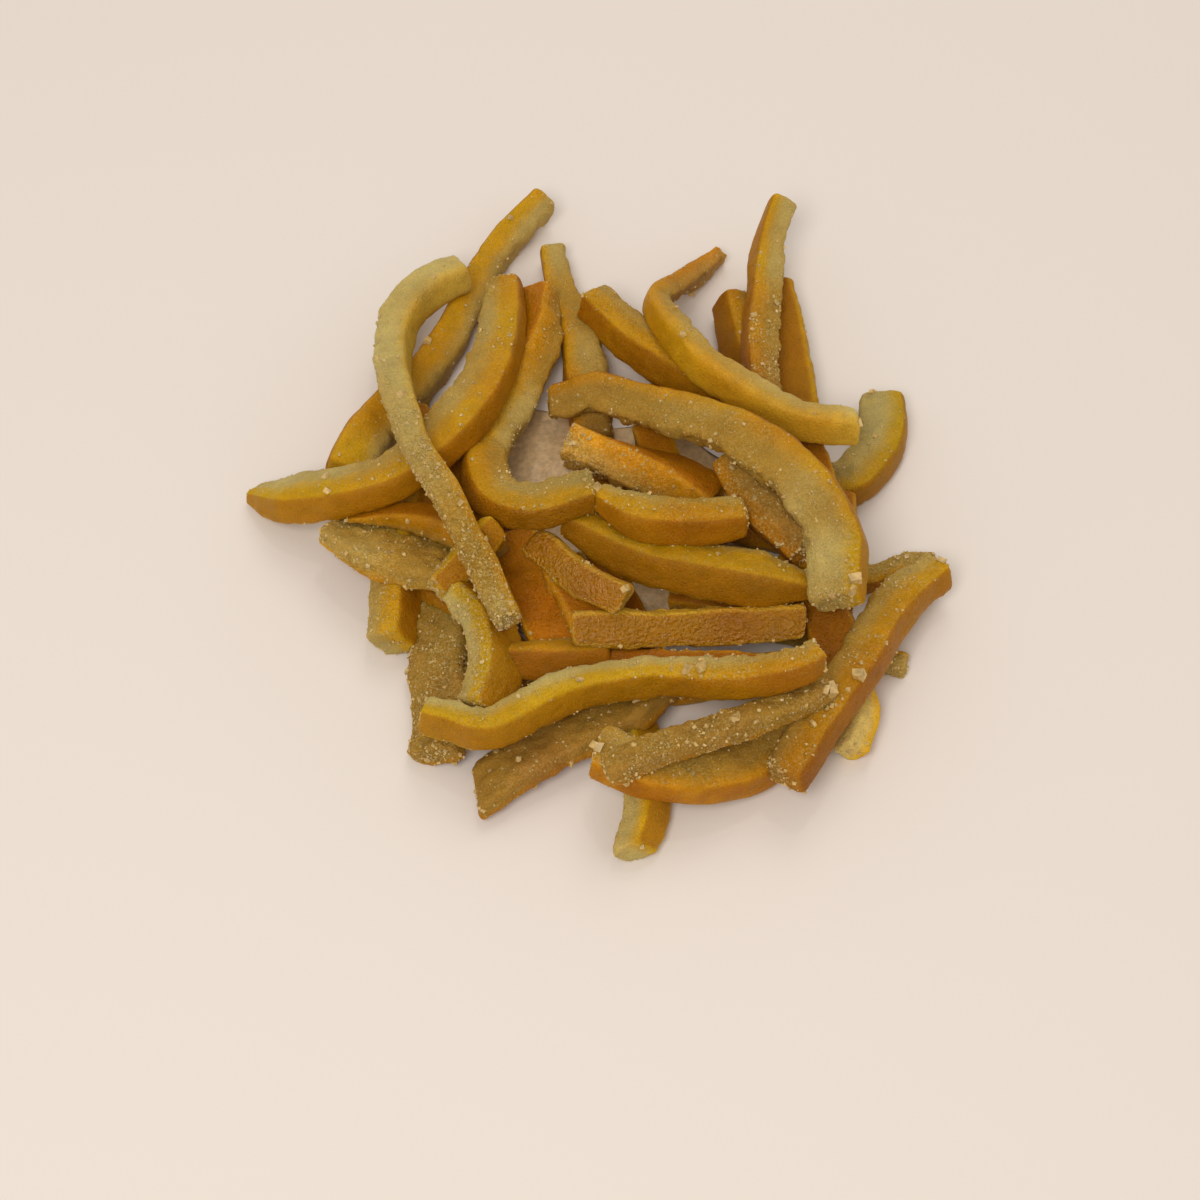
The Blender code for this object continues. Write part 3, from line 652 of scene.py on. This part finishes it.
def joined_piece(name, parts, material):
    """One object from many strips' vertices, faces and finish values."""
    verts, faces, start = [], [], 0
    values = {key: [] for key in parts[0][3]}
    for points, quads, fans, finish in parts:
        verts.append(points)
        faces.extend((quads + start).tolist())
        faces.extend((fans + start).tolist())
        start += len(points)
        for key in values:
            values[key].append(finish[key])
    mesh = bpy.data.meshes.new(name)
    mesh.from_pydata((np.vstack(verts) * MM).tolist(), [], faces)
    for key, lists in values.items():
        layer = mesh.attributes.new(key, "FLOAT", "POINT")
        layer.data.foreach_set("value", np.concatenate(lists).astype(np.float32))
    mesh.materials.append(material)
    mesh.shade_smooth()
    mesh.update()
    obj = bpy.data.objects.new(name, mesh)
    bpy.context.scene.collection.objects.link(obj)
    return obj


# ---------------------------------------------------------------- sugar and core

def grain_shapes(generator):
    """A few small crystals, each a knocked-about cube: (kinds, 8, 3), and its faces."""
    corners = np.array(list(np.ndindex(2, 2, 2)), float) - 0.5
    shapes = corners[None] * generator.uniform(0.6, 1.2, (GRAIN_KINDS, 1, 3))
    shapes += generator.uniform(-0.14, 0.14, (GRAIN_KINDS, 8, 3))
    faces = [(0, 1, 3, 2), (4, 6, 7, 5), (0, 4, 5, 1), (2, 3, 7, 6), (0, 2, 6, 4), (1, 5, 7, 3)]
    return shapes, np.array(faces)


def random_turns(count, generator):
    """Rotation matrices (count, 3, 3) spread over every direction."""
    q = generator.normal(size=(count, 4))
    w, x, y, z = (q / np.linalg.norm(q, axis=1)[:, None]).T
    rows = [[1 - 2 * (y * y + z * z), 2 * (x * y - z * w), 2 * (x * z + y * w)],
            [2 * (x * y + z * w), 1 - 2 * (x * x + z * z), 2 * (y * z - x * w)],
            [2 * (x * z - y * w), 2 * (y * z + x * w), 1 - 2 * (x * x + y * y)]]
    return np.moveaxis(np.array(rows), -1, 0)


def crumb_places(parts):
    """The highest point of each crumb's strip near its share of the length."""
    names = [row["name"] for row in STRIPS]
    places = []
    for name, share, _ in CRUMBS:
        points = parts[names.index(name)][0]
        near = np.arange(-60, 60) + int(share * len(points))
        ring = points[np.clip(near, 0, len(points) - 1)]
        places.append(ring[ring[:, 2].argmax()])
    return np.array(places)


def build_sugar(parts, material):
    """Loose crystals, thickest where the cut peel is sugary."""
    generator = np.random.default_rng(GRAIN_SEED)
    points = np.vstack([part[0] for part in parts])
    chance = np.concatenate([part[3]["grains"] for part in parts])
    chosen = generator.choice(len(points), GRAINS, replace=False, p=chance / chance.sum())
    shapes, faces = grain_shapes(generator)
    places = np.vstack([points[chosen], crumb_places(parts)])
    size = GRAIN_SIZE * generator.lognormal(0.0, 0.5, GRAINS)
    size = np.concatenate([size, [crumb[2] for crumb in CRUMBS]])
    count = len(places)
    turned = np.einsum("nij,nkj->nki", random_turns(count, generator),
                       shapes[generator.integers(0, GRAIN_KINDS, count)])
    verts = places[:, None] + turned * size[:, None, None]
    verts[..., 2] = np.maximum(verts[..., 2], CLEARANCE)
    all_faces = faces[None] + 8 * np.arange(count)[:, None, None]
    mesh = bpy.data.meshes.new("sugar_grains")
    mesh.from_pydata((verts.reshape(-1, 3) * MM).tolist(), [], all_faces.reshape(-1, 4).tolist())
    mesh.materials.append(material)
    obj = bpy.data.objects.new("sugar_grains", mesh)
    bpy.context.scene.collection.objects.link(obj)
    return obj


def build_core(material):
    """A low mound under the middle of the heap, which shows in its gaps."""
    rings, sides = CORE_RINGS, CORE_SIDES
    share = np.linspace(0, 1, rings)[:, None]
    angle = np.linspace(0, 2 * math.pi, sides, endpoint=False)[None, :]
    edge = 1 + 0.10 * np.sin(3 * angle + 1) + 0.07 * np.sin(7 * angle)
    x = CORE_PLACE[0] + CORE_RADII[0] * share * edge * np.cos(angle)
    y = CORE_PLACE[1] + CORE_RADII[1] * share * edge * np.sin(angle)
    points = np.stack([x, y, np.zeros_like(x)], axis=-1)
    swells = 1 + 0.35 * noise(points, CORE_LUMP_SIZE, CORE_SEED, 3)
    height = CORE_HEIGHT * (1 - share ** 2.5) * swells
    crust = 0.25 * noise(points, CORE_CRUST_SIZE, CORE_SEED + 1, 2)
    points[..., 2] = CLEARANCE + np.maximum(height + crust, 0.05)
    points[-1, :, 2] = CLEARANCE
    ids = np.arange(rings * sides).reshape(rings, sides)
    a, b = ids[:-1], ids[1:]
    quads = np.stack([a, b, np.roll(b, -1, 1), np.roll(a, -1, 1)], axis=-1).reshape(-1, 4)
    verts = points.reshape(-1, 3)
    mesh = bpy.data.meshes.new("sugar_core")
    faces = quads[sides:].tolist() + [ids[1].tolist(), ids[-1][::-1].tolist()]
    mesh.from_pydata((verts * MM).tolist(), [], faces)
    mesh.materials.append(material)
    mesh.shade_smooth()
    obj = bpy.data.objects.new("sugar_core", mesh)
    bpy.context.scene.collection.objects.link(obj)
    return obj


# ---------------------------------------------------------------- materials

class Nodes:
    """A short way to write a material's node tree."""

    def __init__(self, material):
        material.use_nodes = True
        self.tree = material.node_tree
        self.shader = self.tree.nodes["Principled BSDF"]

    def put(self, socket, value):
        if isinstance(value, bpy.types.NodeSocket):
            self.tree.links.new(value, socket)
        else:
            socket.default_value = value

    def value(self, name):
        node = self.tree.nodes.new("ShaderNodeAttribute")
        node.attribute_name = name
        return node.outputs["Fac"]

    def math(self, operation, first, second):
        node = self.tree.nodes.new("ShaderNodeMath")
        node.operation = operation
        self.put(node.inputs[0], first)
        self.put(node.inputs[1], second)
        return node.outputs[0]

    def span(self, value, low, high, to_low=0.0, to_high=1.0):
        node = self.tree.nodes.new("ShaderNodeMapRange")
        node.interpolation_type = "SMOOTHSTEP"
        for key, part in (("Value", value), ("From Min", low), ("From Max", high),
                          ("To Min", to_low), ("To Max", to_high)):
            self.put(node.inputs[key], part)
        return node.outputs["Result"]

    def mix(self, share, first, second):
        node = self.tree.nodes.new("ShaderNodeMix")
        node.data_type = "RGBA"
        self.put(node.inputs["Factor"], share)
        self.put(node.inputs["A"], first)
        self.put(node.inputs["B"], second)
        return node.outputs["Result"]

    def ramp(self, value, colours):
        node = self.tree.nodes.new("ShaderNodeValToRGB")
        stops = node.color_ramp.elements
        for at, colour in enumerate(colours):
            place = at / (len(colours) - 1)
            stop = stops[0] if at == 0 else stops.new(place) if place < 1 else stops[-1]
            stop.position = place
            stop.color = colour
        self.put(node.inputs["Fac"], value)
        return node.outputs["Color"]

    def scaled(self, colour, light):
        node = self.tree.nodes.new("ShaderNodeVectorMath")
        node.operation = "SCALE"
        self.put(node.inputs[0], colour if isinstance(colour, bpy.types.NodeSocket)
                 else colour[:3])
        self.put(node.inputs["Scale"], light)
        return node.outputs[0]

    def noise(self, size_mm, detail=3.0, rough=0.55):
        place = self.tree.nodes.new("ShaderNodeTexCoord")
        node = self.tree.nodes.new("ShaderNodeTexNoise")
        node.inputs["Scale"].default_value = 1 / (size_mm * MM)
        node.inputs["Detail"].default_value = detail
        node.inputs["Roughness"].default_value = rough
        self.tree.links.new(place.outputs["Object"], node.inputs["Vector"])
        return node.outputs["Fac"]

    def cells(self, size_mm):
        place = self.tree.nodes.new("ShaderNodeTexCoord")
        node = self.tree.nodes.new("ShaderNodeTexVoronoi")
        node.inputs["Scale"].default_value = 1 / (size_mm * MM)
        self.tree.links.new(place.outputs["Object"], node.inputs["Vector"])
        return node.outputs["Distance"]

    def bump(self, height, distance_mm):
        node = self.tree.nodes.new("ShaderNodeBump")
        node.inputs["Distance"].default_value = distance_mm * MM
        self.put(node.inputs["Height"], height)
        return node.outputs["Normal"]


def from_screen(red, green, blue):
    """A linear colour from a display colour in 0..255."""
    linear = []
    for part in (red, green, blue):
        part = part / 255
        linear.append(part / 12.92 if part <= 0.04045 else ((part + 0.055) / 1.055) ** 2.4)
    return (*linear, 1.0)


# Each is given at warm = 0, 0.5 and 1.
PITH = (from_screen(188, 165, 96), from_screen(168, 127, 42), from_screen(160, 113, 42))
AMBER = (from_screen(196, 152, 4), from_screen(188, 129, 2), from_screen(168, 104, 2))
RIND = (from_screen(174, 120, 4), from_screen(162, 100, 2), from_screen(146, 82, 2))
SUGAR = from_screen(200, 170, 104)
SUGAR_GRAIN = from_screen(198, 164, 100)
CORE_COLOUR = from_screen(206, 172, 124)


def sugar_material(name, colour, spread_of_tone):
    material = bpy.data.materials.new(name)
    n = Nodes(material)
    light = n.span(n.noise(0.9, 2.0), 0.3, 0.7, 1 - spread_of_tone, 1 + spread_of_tone)
    n.put(n.shader.inputs["Base Color"], n.scaled(colour, light))
    n.shader.inputs["Roughness"].default_value = SUGAR_ROUGHNESS
    n.put(n.shader.inputs["Normal"], n.bump(n.noise(0.25, 2.0), 0.1))
    n.shader.inputs["Subsurface Weight"].default_value = SUGAR_SUBSURFACE
    n.shader.inputs["Subsurface Radius"].default_value = (1.0, 0.7, 0.4)
    n.shader.inputs["Subsurface Scale"].default_value = SUGAR_SUBSURFACE_SCALE * MM
    return material


def peel_material(name, shine, wet):
    """shine is the specular level. A wet finish is smoother and has coarser bumps."""
    material = bpy.data.materials.new(name)
    n = Nodes(material)
    rind, warm, sugar = n.value("rind"), n.value("warm"), n.value("sugar")
    tone_and_painted_light, gloss = n.value("tone_and_painted_light"), n.value("gloss")
    mottle = n.noise(MOTTLE_SIZE, 4.0)
    fine = n.noise(FROST_SIZE, 3.0, 0.6)
    grain = n.noise(SPECK_SIZE, 2.0, 0.6)
    pith = n.ramp(warm, PITH)
    amber = n.ramp(warm, AMBER)
    skin = n.ramp(warm, RIND)
    colour = n.mix(n.span(rind, 0.0, 0.72), pith, amber)
    colour = n.mix(n.span(rind, 0.74, 1.0), colour, skin)
    frosted = n.math("MULTIPLY", sugar, n.span(fine, 0.48, 0.60))
    colour = n.mix(n.math("MULTIPLY", frosted, 0.5), colour, SUGAR)
    # painted light: the per-strip tone brightens strips that lie in shade; the mottle is the peel's
    # own
    light = n.math("MULTIPLY", tone_and_painted_light, n.span(mottle, 0.25, 0.75, 0.92, 1.08))
    speck = n.math("MULTIPLY", n.math("SUBTRACT", grain, 0.5), 0.9)
    light = n.math("MULTIPLY", light, n.math("ADD", speck, 1.0))
    # painted shade: where the cut is sugary, the hollows of the frost texture are darkened by up to
    # 18 per cent
    pit_shade = n.math("MULTIPLY", sugar, n.span(fine, 0.34, 0.50, -0.18, 0.0))
    light = n.math("MULTIPLY", light, n.math("ADD", pit_shade, 1.0))
    n.put(n.shader.inputs["Base Color"], n.scaled(colour, light))
    dull = n.math("MULTIPLY", sugar, 0.22)
    smoothest = WET_SMOOTHEST if wet else PEEL_SMOOTHEST
    rough = n.math("ADD", n.span(gloss, 0.0, 1.0, 0.46, smoothest), dull)
    rough = n.math("ADD", rough, n.math("MULTIPLY", n.math("SUBTRACT", mottle, 0.5), 0.25))
    n.put(n.shader.inputs["Roughness"], rough)
    height = n.math("MULTIPLY", fine, n.math("ADD", n.math("MULTIPLY", sugar, 1.2), 0.35))
    pores = n.math("MULTIPLY", n.span(n.cells(PORE_CELL), 0.0, 0.5),
                   n.math("MULTIPLY", gloss, 0.8))
    height = n.math("ADD", height, pores)
    if wet:
        ripples = n.math("MULTIPLY", n.noise(RIPPLE_SIZE, 3.0), RIPPLE_HEIGHT)
        height = n.math("ADD", height, ripples)
    height = n.math("ADD", height, n.math("MULTIPLY", grain, 0.35))
    n.put(n.shader.inputs["Normal"], n.bump(height, TEXTURE_DEPTH))
    n.shader.inputs["Subsurface Weight"].default_value = PEEL_SUBSURFACE
    n.shader.inputs["Subsurface Radius"].default_value = (1.0, 0.55, 0.16)
    n.shader.inputs["Subsurface Scale"].default_value = PEEL_SUBSURFACE_SCALE * MM
    n.shader.inputs["IOR"].default_value = 1.45
    n.shader.inputs["Specular IOR Level"].default_value = shine
    return material


# ---------------------------------------------------------------- stage

def build_stage():
    bpy.ops.mesh.primitive_grid_add(x_subdivisions=8, y_subdivisions=8, size=FLOOR_SIZE)
    floor = bpy.context.object
    floor.name = "floor"
    material = bpy.data.materials.new("floor_finish")
    n = Nodes(material)
    n.shader.inputs["Base Color"].default_value = (*FLOOR_COLOUR, 1.0)
    n.shader.inputs["Roughness"].default_value = 0.9
    n.shader.inputs["Specular IOR Level"].default_value = 0.0
    floor.data.materials.append(material)


def build_light():
    world = bpy.data.worlds.new("studio")
    bpy.context.scene.world = world
    world.use_nodes = True
    sky = world.node_tree.nodes["Background"]
    sky.inputs["Color"].default_value = (*WORLD_COLOUR, 1.0)
    sky.inputs["Strength"].default_value = WORLD_STRENGTH
    for name, place, size, power in LAMPS:
        data = bpy.data.lights.new(name, "AREA")
        data.shape = "DISK"
        data.size = size
        data.energy = power
        lamp = bpy.data.objects.new(name, data)
        lamp.location = place
        lamp.rotation_euler = (-Vector(place)).to_track_quat("-Z", "Y").to_euler()
        bpy.context.scene.collection.objects.link(lamp)
    bpy.context.scene.view_settings.view_transform = "Standard"


def build_camera():
    data = bpy.data.cameras.new("camera")
    data.lens = CAMERA_LENS
    data.sensor_width = 36.0
    data.sensor_fit = "HORIZONTAL"
    camera = bpy.data.objects.new("camera", data)
    camera.location = [part * MM for part in CAMERA_PLACE]
    camera.rotation_euler = (math.radians(90 - CAMERA_ELEVATION), 0, 0)
    bpy.context.scene.collection.objects.link(camera)
    bpy.context.scene.camera = camera


def build_heap():
    last = int(2 * REACH / GRID)
    ground = np.zeros((last + 1, last + 1))
    cut = peel_material("candied_peel_finish", PEEL_SHINE, False)
    wet = peel_material("wet_rind_finish", WET_SHINE, True)
    parts = []
    for seed, row in enumerate(STRIPS):
        laid = lay(row, ground)
        raise_ground(row, laid, ground)
        parts.append(strip_mesh(row, laid, seed))
    glossy = [part for part, row in zip(parts, STRIPS) if row["gloss"] >= WET_GLOSS]
    plain = [part for part, row in zip(parts, STRIPS) if row["gloss"] < WET_GLOSS]
    per_layer = math.ceil(len(plain) / LAYERS)
    chunks = [plain[at * per_layer:(at + 1) * per_layer] for at in range(LAYERS)]
    pieces = [joined_piece(f"peel_strips_{at + 1}", chunk, cut)
              for at, chunk in enumerate(chunks)]
    pieces.append(joined_piece("wet_peel_strips", glossy, wet))
    for piece in pieces:
        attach(piece, BODY)
        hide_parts(NODE)
        print(piece.name, sum(len(f.vertices) - 2 for f in piece.data.polygons), "triangles")
    return parts


def build_loose(parts):
    grains = build_sugar(parts, sugar_material("sugar_finish", SUGAR_GRAIN, 0.25))
    core = build_core(sugar_material("core_finish", CORE_COLOUR, 0.15))
    for piece in (grains, core):
        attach(piece, BODY)
        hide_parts(NODE)


build_camera()
build_light()
build_stage()
build_loose(build_heap())
